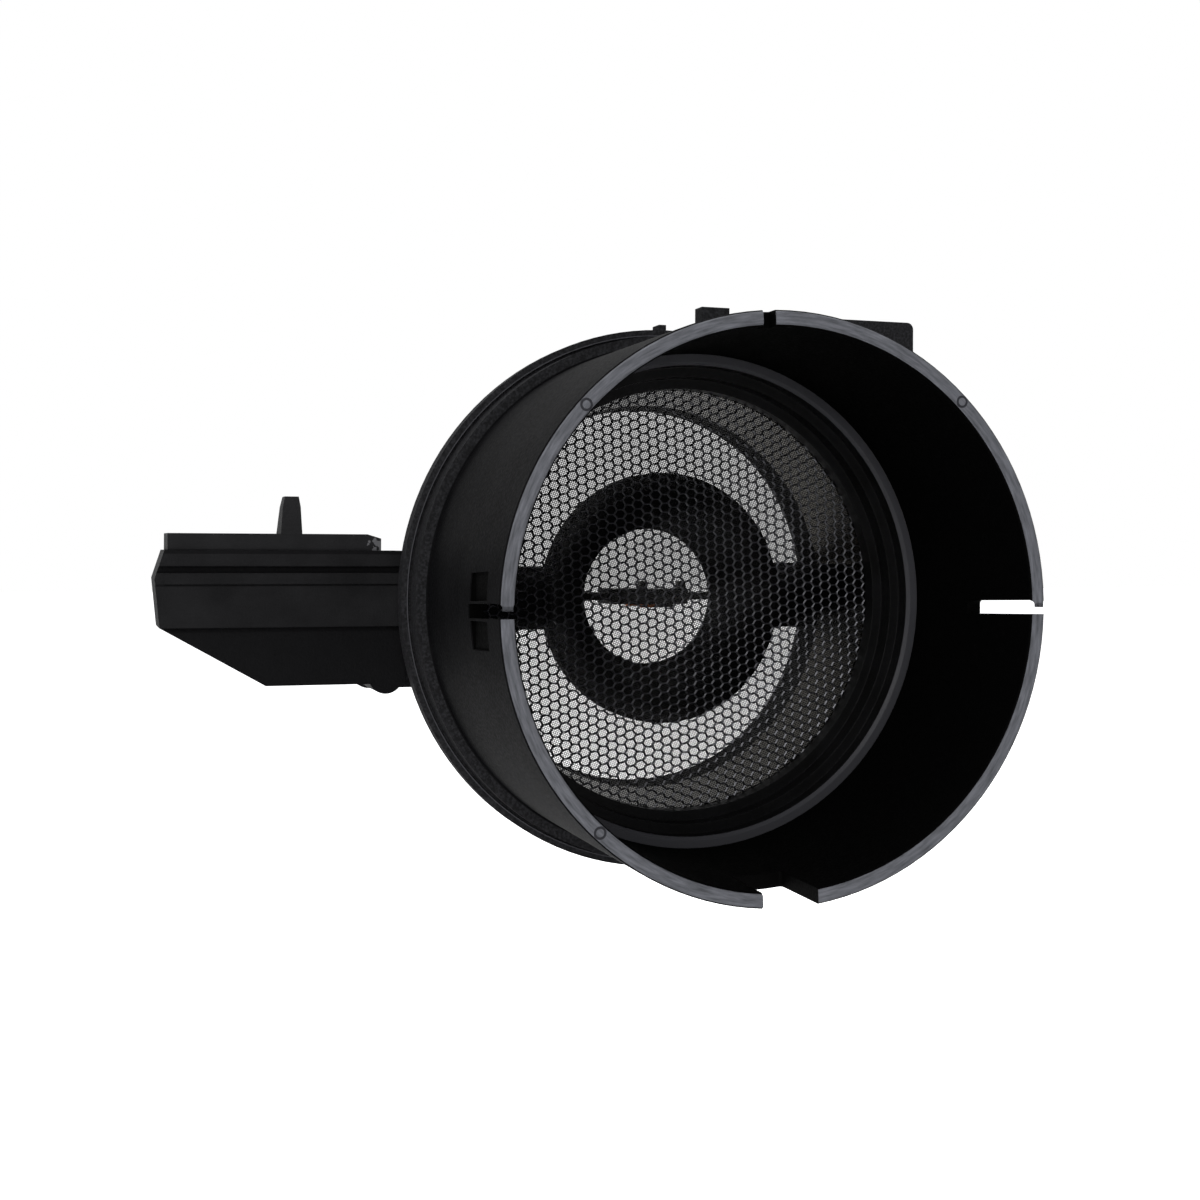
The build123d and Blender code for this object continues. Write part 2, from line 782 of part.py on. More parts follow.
with BuildPart() as module_lid:
    with BuildSketch(Plane.XY.offset(box_top_z)):
        with Locations((box_end_x + lid_margin, face_y + lid_margin)):
            Rectangle(
                box_length - lid_margin - lid_inner_end,
                box_back_y - face_y - 2 * lid_margin,
                align=(Align.MIN, Align.MIN),
            )
    extrude(amount=lid_thickness)
    lid_right_x = pad_x - lid_inner_end
    lid_top_z = box_top_z + lid_thickness
    with BuildSketch(across(face_y)):
        with BuildLine():
            Polyline(
                (lid_right_x - lid_slope_length, lid_top_z),
                (lid_right_x, lid_top_z),
                (lid_right_x, lid_top_z - lid_slope_height),
                close=True,
            )
        make_face()
    extrude(amount=-box_depth, mode=Mode.SUBTRACT)
    with BuildSketch(Plane.XY.offset(box_top_z)):
        with Locations(
            ((cavity_left_x + cavity_right_x) / 2, (cavity_front_y + cavity_back_y) / 2)
        ):
            skirt_length = cavity_right_x - cavity_left_x - 2 * skirt_gap
            skirt_width = cavity_back_y - cavity_front_y - 2 * skirt_gap
            Rectangle(skirt_length, skirt_width)
            Rectangle(
                skirt_length - 2 * skirt_wall, skirt_width - 2 * skirt_wall, mode=Mode.SUBTRACT
            )
    extrude(amount=-skirt_depth)

label_and_write(module_lid, "module_lid")

with BuildPart() as lid_seal:
    with BuildSketch(Plane.XY.offset(box_top_z - seal_height)):
        with Locations(seal_centre):
            Rectangle(*seal_size)
            Rectangle(
                seal_size[0] - 2 * seal_width, seal_size[1] - 2 * seal_width, mode=Mode.SUBTRACT
            )
    extrude(amount=seal_height)

label_and_write(lid_seal, "lid_seal")

with BuildPart() as module_seal:
    ring_centre = Plane(
        origin=(pad_x + seal_inset, probe_y, 0), x_dir=(0, 1, 0), z_dir=(0, 0, 1)
    )
    with BuildSketch(ring_centre) as neck_section:
        with Locations((groove_floor_r + seal_section / 2, 0)):
            Rectangle(seal_section, seal_section)
        chamfer(neck_section.vertices(), seal_chamfer)
    revolve(axis=Axis((pad_x + seal_inset, probe_y, 0), (1, 0, 0)))

label_and_write(module_seal, "module_seal")

# ---------------------------------------------------------------------------
# Screws and their brass inserts
# ---------------------------------------------------------------------------

with BuildPart() as screw_inserts:
    with BuildSketch(across(box_back_y)):
        with Locations(*[(boss_x, z) for z in boss_heights]):
            Circle(nut_r)
            Circle(screw_d / 2 + snug_gap, mode=Mode.SUBTRACT)
    extrude(amount=insert_nut_length)

label_and_write(screw_inserts, "screw_inserts")

with BuildPart() as module_screws:
    with BuildSketch(across(bracket_back_y)):
        with Locations(*[(boss_x, z) for z in boss_heights]):
            Circle(screw_d / 2)
    extrude(amount=bracket_thickness + insert_nut_length - screw_tip_gap)
    with BuildSketch(across(bracket_back_y)):
        with Locations(*[(boss_x, z) for z in boss_heights]):
            Circle(screw_head_r)
    extrude(amount=-screw_head_height)
    head_edges = module_screws.edges().filter_by(GeomType.CIRCLE).group_by(Axis.Y)[-1]
    chamfer(head_edges, screw_head_bevel)
    with BuildSketch(across(bracket_back_y + screw_head_height)):
        with Locations(*[(boss_x, z) for z in boss_heights]):
            RegularPolygon(screw_drive_r, 6)
    extrude(amount=screw_drive_depth, mode=Mode.SUBTRACT)

label_and_write(module_screws, "module_screws")

# ---------------------------------------------------------------------------
# Circuit in the box
# ---------------------------------------------------------------------------

sink_top_z = floor_z + heat_sink_thickness
carrier_bottom_z = -carrier_thickness / 2
board_bottom_z = carrier_thickness / 2
board_top_z = board_bottom_z + board_thickness
cavity_y = (cavity_front_y + cavity_back_y) / 2
board_left_x = cavity_left_x + board_margin
board_right_x = cavity_right_x - board_margin
chip_row_y = cavity_front_y + 2 * board_margin  # front edge of the row of small parts

with BuildPart() as heat_sink:
    with BuildSketch(Plane.XY.offset(floor_z)):
        with Locations((cavity_left_x + skirt_gap, cavity_y)):
            Rectangle(
                cavity_right_x - cavity_left_x - 2 * skirt_gap,
                cavity_back_y - cavity_front_y - 2 * skirt_gap,
                align=(Align.MIN, Align.CENTER),
            )
    extrude(amount=heat_sink_thickness)

label_and_write(heat_sink, "heat_sink")

with BuildPart() as spacer_block:
    with BuildSketch(Plane.XY.offset(sink_top_z)):
        with Locations((board_right_x, probe_y)):
            Rectangle(
                board_right_x - cavity_left_x - spacer_end_gap,
                carrier_width,
                align=(Align.MAX, Align.CENTER),
            )
    extrude(amount=carrier_bottom_z - sink_top_z)

label_and_write(spacer_block, "spacer_block")

with BuildPart() as hybrid_circuit:
    with BuildSketch(Plane.XY.offset(board_bottom_z)):
        with Locations((board_left_x, cavity_y)):
            Rectangle(
                board_right_x - board_left_x,
                cavity_back_y - cavity_front_y - 2 * board_margin,
                align=(Align.MIN, Align.CENTER),
            )
    extrude(amount=board_thickness)

label_and_write(hybrid_circuit, "hybrid_circuit")

with BuildPart() as power_module:
    power_x = board_left_x + board_margin + power_length / 2
    with BuildSketch(Plane.XY.offset(board_top_z)):
        with Locations((power_x, cavity_y)):
            Rectangle(power_length, power_width)
    extrude(amount=power_height)

label_and_write(power_module, "power_module")

with BuildPart() as control_chip:
    chip_x = power_x + power_length / 2 + board_margin + chip_size / 2
    with BuildSketch(Plane.XY.offset(board_top_z)):
        with Locations((chip_x, chip_row_y)):
            Rectangle(chip_size, chip_size, align=(Align.CENTER, Align.MIN))
    extrude(amount=chip_height)

label_and_write(control_chip, "control_chip")

with BuildPart() as chip_resistors:
    small_part_x = chip_x + chip_size / 2 + board_margin
    with BuildSketch(Plane.XY.offset(board_top_z)):
        with Locations((small_part_x, chip_row_y)):
            with GridLocations(resistor_pitch, 1, resistor_count, 1, align=(Align.MIN, Align.MIN)):
                Rectangle(resistor_width, resistor_length, align=(Align.MIN, Align.MIN))
    extrude(amount=resistor_height)

label_and_write(chip_resistors, "chip_resistors")

with BuildPart() as chip_capacitors:
    with BuildSketch(Plane.XY.offset(board_top_z)):
        with Locations((board_right_x - board_margin, chip_row_y)):
            for step in range(capacitor_count):
                with Locations((-step * capacitor_pitch, 0)):
                    Rectangle(
                        capacitor_width, capacitor_length, align=(Align.MAX, Align.MIN)
                    )
    extrude(amount=capacitor_height)

label_and_write(chip_capacitors, "chip_capacitors")

# ---------------------------------------------------------------------------
# Probe: carrier, films, terminals and leads
# ---------------------------------------------------------------------------

frame_top_z = frame_thickness / 2
film_places = ((hot_film_x, hot_film_length), (air_film_x, air_film_length))

with BuildPart() as sensor_carrier:
    with BuildSketch(Plane.XY.offset(carrier_bottom_z)):
        with Locations((carrier_tail_x, probe_y)):
            Rectangle(
                carrier_tip_x - carrier_tail_x, carrier_width, align=(Align.MIN, Align.CENTER)
            )
    extrude(amount=carrier_thickness)
    with BuildSketch(Plane.XY.offset(-frame_top_z)) as frame_outline:
        with Locations((0, probe_y)):
            RectangleRounded(frame_length, frame_width, frame_corner_r)
    extrude(amount=frame_thickness)
    for film_x, film_length in film_places:
        with BuildSketch(Plane.XY.offset(frame_top_z)):
            with Locations((film_x, probe_y)):
                Rectangle(film_length + 2 * snug_gap, film_width + 2 * snug_gap)
        extrude(amount=-film_thickness, mode=Mode.SUBTRACT)
        with BuildSketch(Plane.XY.offset(frame_top_z)):
            with Locations((film_x, probe_y)):
                Rectangle(film_length - 2 * film_ledge, film_width - 2 * film_ledge)
        extrude(amount=-frame_thickness, mode=Mode.SUBTRACT)

label_and_write(sensor_carrier, "sensor_carrier")

film_names = ("hot_film_element", "air_temperature_element")
for film_name, (film_x, film_length) in zip(film_names, film_places):
    with BuildPart() as film:
        with BuildSketch(Plane.XY.offset(frame_top_z - film_thickness)):
            with Locations((film_x, probe_y)):
                Rectangle(film_length, film_width)
        extrude(amount=film_thickness)
    label_and_write(film, film_name)

border_y = (film_width + frame_width) / 4  # probe's axis to the middle of the frame's border

with BuildPart() as element_terminals:
    with BuildSketch(Plane.XY.offset(frame_top_z)):
        with Locations(*[(x, probe_y - border_y) for x in terminal_x]):
            Rectangle(terminal_size, terminal_size)
    extrude(amount=terminal_size)

label_and_write(element_terminals, "element_terminals")

with BuildPart() as element_leads:
    with BuildSketch(Plane.XY.offset(-frame_top_z)):
        with Locations((lead_x, probe_y)):
            with GridLocations(1, 2 * border_y, 1, 2):
                Rectangle(lead_length, lead_width)
    extrude(amount=-lead_thickness)

label_and_write(element_leads, "element_leads")

# ---------------------------------------------------------------------------
# Contacts
# ---------------------------------------------------------------------------

with BuildPart() as connector_pins:
    with BuildSketch(across(pin_start_y)):
        with Locations(*[(shroud_x + offset, pin_z) for offset in pin_offsets]):
            Rectangle(pin_width, pin_thickness)
    extrude(amount=-pin_length)

label_and_write(connector_pins, "connector_pins")

pin_bottom_z = pin_z - pin_thickness / 2
with BuildPart() as pin_straps:
    for offset in pin_offsets:
        with BuildSketch(beside(shroud_x + offset - strap_width / 2)):
            with BuildLine():
                Polyline(
                    (pin_start_y + strap_foot, pin_bottom_z),
                    (pin_start_y, pin_bottom_z),
                    (pin_start_y, board_top_z + strap_thickness),
                    (pin_start_y - strap_foot, board_top_z + strap_thickness),
                    (pin_start_y - strap_foot, board_top_z),
                    (pin_start_y + strap_thickness, board_top_z),
                    (pin_start_y + strap_thickness, pin_bottom_z - strap_thickness),
                    (pin_start_y + strap_foot, pin_bottom_z - strap_thickness),
                    close=True,
                )
            make_face()
        extrude(amount=strap_width)

label_and_write(pin_straps, "pin_straps")
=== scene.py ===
# %% [markdown]
# # Dressing a hot-film mass airflow sensor
#
# The construction of the sensor comes in as a fixed frame: a moulded plastic duct, a flow
# insert with its nozzle ring, a wire screen, and a slim sensor module on the left side.
# This lesson gives every piece its finish and adds the detail that is too fine for the
# construction. Nothing that comes in is moved or resized.

# %% Load the frame
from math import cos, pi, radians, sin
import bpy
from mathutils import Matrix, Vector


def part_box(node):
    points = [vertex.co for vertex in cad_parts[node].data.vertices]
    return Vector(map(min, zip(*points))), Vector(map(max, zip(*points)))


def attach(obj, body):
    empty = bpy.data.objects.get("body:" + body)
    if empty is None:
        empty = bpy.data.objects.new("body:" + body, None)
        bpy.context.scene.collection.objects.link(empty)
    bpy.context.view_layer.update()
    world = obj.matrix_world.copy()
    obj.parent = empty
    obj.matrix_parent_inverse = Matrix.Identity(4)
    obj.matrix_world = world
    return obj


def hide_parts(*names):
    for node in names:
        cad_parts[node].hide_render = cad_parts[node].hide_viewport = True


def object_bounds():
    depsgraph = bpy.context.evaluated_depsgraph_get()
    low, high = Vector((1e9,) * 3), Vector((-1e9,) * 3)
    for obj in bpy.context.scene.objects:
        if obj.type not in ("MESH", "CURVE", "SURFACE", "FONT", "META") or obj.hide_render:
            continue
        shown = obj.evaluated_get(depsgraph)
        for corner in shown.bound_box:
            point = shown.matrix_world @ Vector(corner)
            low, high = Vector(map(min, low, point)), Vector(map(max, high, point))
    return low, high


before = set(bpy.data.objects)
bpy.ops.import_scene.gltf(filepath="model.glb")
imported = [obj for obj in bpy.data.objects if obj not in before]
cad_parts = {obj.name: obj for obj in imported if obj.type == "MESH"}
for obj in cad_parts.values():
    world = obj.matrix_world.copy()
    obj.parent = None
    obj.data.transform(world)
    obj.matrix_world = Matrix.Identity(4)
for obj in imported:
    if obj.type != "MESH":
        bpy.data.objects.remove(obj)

# %% Tools, units and the size of the object
from types import SimpleNamespace

import bmesh
import bpy
from mathutils import Matrix, Vector

MM = 0.001
cad_low, cad_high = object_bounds()
size_mm = [round((high - low) / MM, 1) for low, high in zip(cad_low, cad_high)]
print("The object measures", size_mm, "mm, and has", len(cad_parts), "pieces")

# %% [markdown]
# ## Camera
#
# The sensor is seen from in front of its inlet and from the left, so that the bore, the
# outside of the duct and the front of the module all show. The camera stands close, which
# makes the near rim look larger than the flange behind it. A lens has one number that
# matters here, its focal length, and the small shift says that the frame isn't centred on
# the lens's own axis.

# %% Place the camera
CAMERA_PLACE = Vector((-96.6, -193.2, 8.8)) * MM
CAMERA_TURN = radians(16.67)  # to the right of straight into the inlet
CAMERA_RISE = radians(0.18)
CAMERA_ROLL = radians(0.27)

camera_data = bpy.data.cameras.new("camera")
camera_data.lens = 45.0
camera_data.sensor_width = 36.0
camera_data.shift_x = 0.061
camera_data.shift_y = -0.049
camera_data.clip_start = 10 * MM
camera_data.clip_end = 10.0
camera = bpy.data.objects.new("camera", camera_data)
bpy.context.collection.objects.link(camera)
look = Vector((
    sin(CAMERA_TURN) * cos(CAMERA_RISE),
    cos(CAMERA_TURN) * cos(CAMERA_RISE),
    sin(CAMERA_RISE),
))
camera.matrix_world = (
    Matrix.Translation(CAMERA_PLACE)
    @ look.to_track_quat("-Z", "Y").to_matrix().to_4x4()
    @ Matrix.Rotation(CAMERA_ROLL, 4, "Z")
)
bpy.context.scene.camera = camera
print("The camera stands", round(CAMERA_PLACE.length / MM), "mm from the inlet's centre")

# %% [markdown]
# ## Background, floor and light
#
# The object is black, so what shapes it for the eye is the light that its edges and its
# slight sheen give back. The world is a studio with a white sweep behind the object and a
# dim room in front of it, where the camera stands: that keeps the inside of the bore black
# and lets the smooth wall of the flow insert shine. Light Path makes the sweep plain white
# in the camera's view, so it needs no extra light on the object. The Standard view keeps
# each colour as it is written.

# %% Helpers for colours and nodes
def linear(hex_colour):
    """A written sRGB colour as the linear colour that the shaders take."""
    channels = [int(hex_colour[i:i + 2], 16) / 255 for i in (1, 3, 5)]
    return tuple(
        c / 12.92 if c <= 0.04045 else ((c + 0.055) / 1.055) ** 2.4 for c in channels
    ) + (1.0,)


def add(tree, kind, inputs=None, **settings):
    """Add one node with its settings; each input is a plain value or another node's socket."""
    node = tree.nodes.new(kind)
    for name, value in settings.items():
        setattr(node, name, value)
    for socket, value in (inputs or {}).items():
        if isinstance(value, bpy.types.NodeSocket):
            tree.links.new(value, node.inputs[socket])
        else:
            node.inputs[socket].default_value = value
    return node


# %% What shiny surfaces see: a dim room in front and a white sweep behind
ROOM_IN_FRONT = 0.16

world = bpy.data.worlds.new("studio")
bpy.context.scene.world = world
world.use_nodes = True
tree = world.node_tree
tree.nodes.clear()
path = add(tree, "ShaderNodeLightPath")
view_direction = add(tree, "ShaderNodeTexCoord")
direction = add(tree, "ShaderNodeSeparateXYZ", {0: view_direction.outputs["Generated"]})
sweep = add(tree, "ShaderNodeMapRange", {
    "Value": direction.outputs["Y"],
    "From Min": -0.1,
    "From Max": 0.7,
    "To Min": ROOM_IN_FRONT,
    "To Max": 1.0,
}, interpolation_type="SMOOTHSTEP")
on_gloss = add(tree, "ShaderNodeBackground", {
    "Color": linear("#ffffff"), "Strength": sweep.outputs[0],
})
mirrored = add(tree, "ShaderNodeMath", {
    0: path.outputs["Is Glossy Ray"], 1: path.outputs["Is Transmission Ray"],
}, operation="MAXIMUM")
print("The room's light on shiny surfaces goes from", ROOM_IN_FRONT, "in front to 1.0 behind")

# %% What matt surfaces and the camera see
SOFT_LIGHT = 0.62  # what reaches matt surfaces from all around

on_matt = add(tree, "ShaderNodeBackground", {"Color": linear("#f4f5f7"), "Strength": SOFT_LIGHT})
in_view = add(tree, "ShaderNodeBackground", {"Color": linear("#ffffff"), "Strength": 1.0})
surroundings = add(tree, "ShaderNodeMixShader", {
    0: mirrored.outputs[0], 1: on_matt.outputs[0], 2: on_gloss.outputs[0],
})
studio = add(tree, "ShaderNodeMixShader", {
    0: path.outputs["Is Camera Ray"], 1: surroundings.outputs[0], 2: in_view.outputs[0],
})
add(tree, "ShaderNodeOutputWorld", {"Surface": studio.outputs[0]})
print("The soft light on matt surfaces is", SOFT_LIGHT)

# %% A pale floor that keeps the object's shadow
FLOOR_DROP = 75 * MM  # below the object's lowest point, because the sensor hangs in its intake
FLOOR_HALF = 4.0  # metres from its middle to its edge

floor_mesh = bpy.data.meshes.new("floor")
floor_shape = bmesh.new()
bmesh.ops.create_grid(floor_shape, x_segments=1, y_segments=1, size=FLOOR_HALF)
floor_shape.to_mesh(floor_mesh)
floor_shape.free()
floor = bpy.data.objects.new("floor", floor_mesh)
floor.location.z = cad_low.z - FLOOR_DROP
bpy.context.collection.objects.link(floor)
print("The floor lies", round(FLOOR_DROP / MM), "mm under the object")

# %% The floor's matt paint, lifted to white in the camera's view
LIFT = 0.8

paint = bpy.data.materials.new("matt white floor paint")
paint.use_nodes = True
tree = paint.node_tree
tree.nodes.clear()
path = add(tree, "ShaderNodeLightPath")
matt = add(tree, "ShaderNodeBsdfDiffuse", {"Color": linear("#f2f2f2")})
glow = add(tree, "ShaderNodeEmission", {"Color": linear("#ffffff"), "Strength": LIFT})
lifted = add(tree, "ShaderNodeAddShader", {0: matt.outputs[0], 1: glow.outputs[0]})
choose = add(tree, "ShaderNodeMixShader", {
    0: path.outputs["Is Camera Ray"], 1: matt.outputs[0], 2: lifted.outputs[0],
})
add(tree, "ShaderNodeOutputMaterial", {"Surface": choose.outputs[0]})
floor_mesh.materials.append(paint)
print("The floor's paint is named", paint.name)

# %% Soft lamps
def softbox(name, place, aim, width, height, power):
    """A rectangular area lamp, placed and aimed in millimetres."""
    data = bpy.data.lights.new(name, "AREA")
    data.shape = "RECTANGLE"
    data.size = width * MM
    data.size_y = height * MM
    data.energy = power
    lamp = bpy.data.objects.new(name, data)
    lamp.location = Vector(place) * MM
    lamp.rotation_euler = (Vector(aim) - Vector(place)).to_track_quat("-Z", "Y").to_euler()
    bpy.context.collection.objects.link(lamp)
    print(name, "gives", power, "W from", [round(value) for value in place], "mm")


softbox("key_lamp", (-500, -650, 420), (0, 0, 0), 700, 500, 7.0)
softbox("top_lamp", (60, 120, 800), (0, 30, 0), 600, 600, 8.0)

# %% Look
scene = bpy.context.scene
scene.view_settings.view_transform = "Standard"
print("The view transform is", scene.view_settings.view_transform)

# %% [markdown]
# ## Moulded plastics
#
# The duct, the flow insert, the screen's ring and the module are glass-filled polyamide,
# injection moulded in black. Short glass fibres float up to the skin, so its colour drifts
# a little and its gloss is low and uneven. One function makes all these mouldings: a slow
# noise moves the colour between two tones, and a fine one gives the grain and the unevenness
# of the gloss. A fibre is a hundredth of a millimetre thick and a few tenths long. It is too
# thin to show, so the grain is drawn as coarse as a fibre is long, or a little coarser. A
# Bevel node rounds the edges for the eye, as the mould's own edges are.

# %% A function for moulded plastics
EDGE_ROUND = 0.25 * MM  # a moulded edge's radius
PLASTIC_IOR = 1.52
GLOSS_DRIFT = 0.07  # how far the roughness strays to each side


def dress(name, material):
    """Give a piece of the frame one material."""
    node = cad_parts[name]
    node.data.materials.clear()
    node.data.materials.append(material)


def moulding(name, deep, pale, gloss, roughness, grain, relief, drift=7.0):
    """A moulded plastic; grain, relief and drift are in millimetres."""
    material = bpy.data.materials.new(name)
    material.use_nodes = True
    tree = material.node_tree
    shader = tree.nodes["Principled BSDF"]
    shader.inputs["IOR"].default_value = PLASTIC_IOR
    shader.inputs["Specular IOR Level"].default_value = gloss
    place = add(tree, "ShaderNodeTexCoord")
    clouds = add(tree, "ShaderNodeTexNoise", {
        "Vector": place.outputs["Object"], "Scale": 1 / (drift * MM), "Detail": 5.0,
    })
    tone = add(tree, "ShaderNodeMapRange", {
        "Value": clouds.outputs[0], "From Min": 0.35, "From Max": 0.65,
    })
    colour = add(tree, "ShaderNodeMix", {
        0: tone.outputs[0], 6: linear(deep), 7: linear(pale),
    }, data_type="RGBA")
    fibres = add(tree, "ShaderNodeTexNoise", {
        "Vector": place.outputs["Object"], "Scale": 1 / (grain * MM), "Detail": 2.0,
    })
    uneven = add(tree, "ShaderNodeMapRange", {
        "Value": fibres.outputs[0],
        "From Min": 0.3,
        "From Max": 0.7,
        "To Min": roughness - GLOSS_DRIFT,
        "To Max": roughness + GLOSS_DRIFT,
    })
    edges = add(tree, "ShaderNodeBevel", {"Radius": EDGE_ROUND}, samples=4)
    skin = add(tree, "ShaderNodeBump", {
        "Height": fibres.outputs[0], "Distance": relief * MM, "Normal": edges.outputs[0],
    })
    tree.links.new(colour.outputs[2], shader.inputs["Base Color"])
    tree.links.new(uneven.outputs[0], shader.inputs["Roughness"])
    tree.links.new(skin.outputs[0], shader.inputs["Normal"])
    return material


# %% [markdown]
# Some skins change from place to place on one piece. A mask is a number that is 1 where
# a skin lies and 0 elsewhere. It could be painted as a picture, but here it follows from
# the place in the object's own coordinates, so it stays with the piece in every view and
# keeps its sizes in millimetres.

# %% Helpers for skins that lie on part of a piece
FAR = 10.0  # past every place on the sensor, in metres, and past every mask


def spots(tree):
    """A point's place, its X, Y and Z, its place seen along the duct, and its radius there."""
    place = add(tree, "ShaderNodeTexCoord").outputs["Object"]
    x, y, z = add(tree, "ShaderNodeSeparateXYZ", {0: place}).outputs
    face = add(tree, "ShaderNodeCombineXYZ", {0: x, 1: z}).outputs[0]
    radius = add(tree, "ShaderNodeVectorMath", {0: face}, operation="LENGTH").outputs["Value"]
    return SimpleNamespace(place=place, x=x, y=y, z=z, face=face, radius=radius)


def zone(tree, value, low=-FAR, high=FAR, inside=1.0):
    """A mask that is 1 between two bounds of a value, times another mask or a share."""
    above = add(tree, "ShaderNodeMath", {0: value, 1: low}, operation="GREATER_THAN")
    below = add(tree, "ShaderNodeMath", {0: value, 1: high}, operation="LESS_THAN")
    between = add(tree, "ShaderNodeMath", {
        0: above.outputs[0], 1: below.outputs[0],
    }, operation="MULTIPLY")
    return add(tree, "ShaderNodeMath", {
        0: between.outputs[0], 1: inside,
    }, operation="MULTIPLY").outputs[0]


def fed(material, name):
    """The shader's input of that name, and the socket that feeds it."""
    socket = material.node_tree.nodes["Principled BSDF"].inputs[name]
    return socket, socket.links[0].from_socket


def overlay(material, mask, tone):
    """Lay a tone over what a mask covers; the rest keeps the colour that it had."""
    socket, under = fed(material, "Base Color")
    laid = add(material.node_tree, "ShaderNodeMix", {0: mask, 6: under, 7: tone}, data_type="RGBA")
    material.node_tree.links.new(laid.outputs[2], socket)


# %% [markdown]
# ## Duct housing
#
# The duct is one moulding with several skins. Its rim is where it was pushed off the mould:
# the face has scuffs along it and keeps three round marks of the ejector pins, and its mid
# grey is painted light. The outside is satin, and the bore and the recesses beside the slots
# are painted a deep black as shade. One material holds them all: rules on the place in the
# object's own coordinates say where each skin begins.

# %% The duct's plastic, and its bore painted black as shade
RIM_FACE = 0.2 * MM  # depth of the front face, painted a lighter grey with scuffs along it
BORE_EDGE = 40.6 * MM  # just outside the bore's wall
RECESS_EDGE = 42.3 * MM  # the recesses beside the slots lie below this radius
RECESS_BACK = 20 * MM  # and in front of this depth
BORE_SHADE_TONE = linear("#020202")  # painted shade: the bore and recesses are coloured almost black for the shade inside them

# satin black, with very little gloss: the fibres at its skin scatter the light
duct = moulding(
    "glass_filled_polyamide", "#080809", "#0d0d0e", gloss=0.02, roughness=0.66, grain=0.45, relief=0.05,
)
tree = duct.node_tree
at = spots(tree)
on_rim = zone(tree, at.y, high=RIM_FACE)
bore_in_shade = zone(tree, at.radius, high=BORE_EDGE)
recess_in_shade = zone(tree, at.radius, high=RECESS_EDGE, inside=zone(tree, at.y, high=RECESS_BACK))
print("The bore's skin ends", round((RECESS_EDGE - BORE_EDGE) / MM, 1), "mm short of the recesses' edge")

# %% Collar and flange, where the fibres show as a fine speckle
SHOULDER_START = 42.9 * MM  # just in front of the collar
SHOULDER_RADIUS = 42.8 * MM  # just outside the tube
SPECKLE = 0.4 * MM  # a fibre's length, because its thickness is too fine to show
HIGHLIGHT_RADIUS = 44.95 * MM  # the flange's edge over the collar's groove, with a painted highlight
HIGHLIGHT_HALF = 0.12 * MM
HIGHLIGHT_FRONT = 46.6 * MM
HIGHLIGHT_BACK = 47.4 * MM

speckle = add(tree, "ShaderNodeTexNoise", {
    "Vector": at.place, "Scale": 1 / SPECKLE, "Detail": 3.0,
})
fibre_tone = add(tree, "ShaderNodeMapRange", {
    "Value": speckle.outputs[0], "From Min": 0.4, "From Max": 0.75,
})
fibre_colour = add(tree, "ShaderNodeMix", {
    0: fibre_tone.outputs[0], 6: linear("#171718"), 7: linear("#29292b"),
}, data_type="RGBA")
on_shoulder = zone(
    tree, at.radius, low=SHOULDER_RADIUS, inside=zone(tree, at.y, low=SHOULDER_START),
)
painted_light = zone(
    tree, at.radius, HIGHLIGHT_RADIUS - HIGHLIGHT_HALF, HIGHLIGHT_RADIUS + HIGHLIGHT_HALF,
    inside=zone(tree, at.y, HIGHLIGHT_FRONT, HIGHLIGHT_BACK),
)
overlay(duct, on_shoulder, fibre_colour.outputs[2])
# painted highlight: a thin lighter line along the flange's edge over the groove
overlay(duct, painted_light, linear("#3e3e41"))
# painted shade: the bore and the recesses beside the slots get a near-black tone
overlay(duct, bore_in_shade, BORE_SHADE_TONE)
overlay(duct, recess_in_shade, BORE_SHADE_TONE)
print("The rubbed line is", round(2 * HIGHLIGHT_HALF / MM, 2), "mm wide")

# %% Scuffs that run along the rim, over a mid grey of painted light
RIM_MIDDLE = 41.35 * MM
STREAK_WIDTH = 0.45 * MM  # scuffs are finer than this, so they are drawn coarse enough to show
STREAK_STRETCH = 9.0  # times as long as wide

bearing = add(tree, "ShaderNodeMath", {0: at.z, 1: at.x}, operation="ARCTAN2")
around = add(tree, "ShaderNodeMath", {
    0: bearing.outputs[0], 1: RIM_MIDDLE / STREAK_STRETCH,
}, operation="MULTIPLY")
along_rim = add(tree, "ShaderNodeCombineXYZ", {0: at.radius, 1: around.outputs[0]})
scuffs = add(tree, "ShaderNodeTexNoise", {
    "Vector": along_rim.outputs[0], "Scale": 1 / STREAK_WIDTH, "Detail": 4.0, "Roughness": 0.6,
})
scuff_tone = add(tree, "ShaderNodeMapRange", {
    "Value": scuffs.outputs[0], "From Min": 0.3, "From Max": 0.7,
})
# painted light: the rim's front face is painted a mid grey, and the scuffs vary it
rim_scuffs_and_painted_light = add(tree, "ShaderNodeMix", {
    0: scuff_tone.outputs[0], 6: linear("#3d3e41"), 7: linear("#5c5d62"),
}, data_type="RGBA")
overlay(duct, on_rim, rim_scuffs_and_painted_light.outputs[2])
print("Each streak is about", round(STREAK_WIDTH * STREAK_STRETCH / MM, 1), "mm long")

# %% Marks of the ejector pins on the rim
MARK_ANGLES = (47.2, 137.2, 227.2)  # degrees, a quarter turn apart
MARK_RADIUS = 0.75 * MM
MARK_LINE = 0.17 * MM
MARK_DEPTH = 0.15 * MM

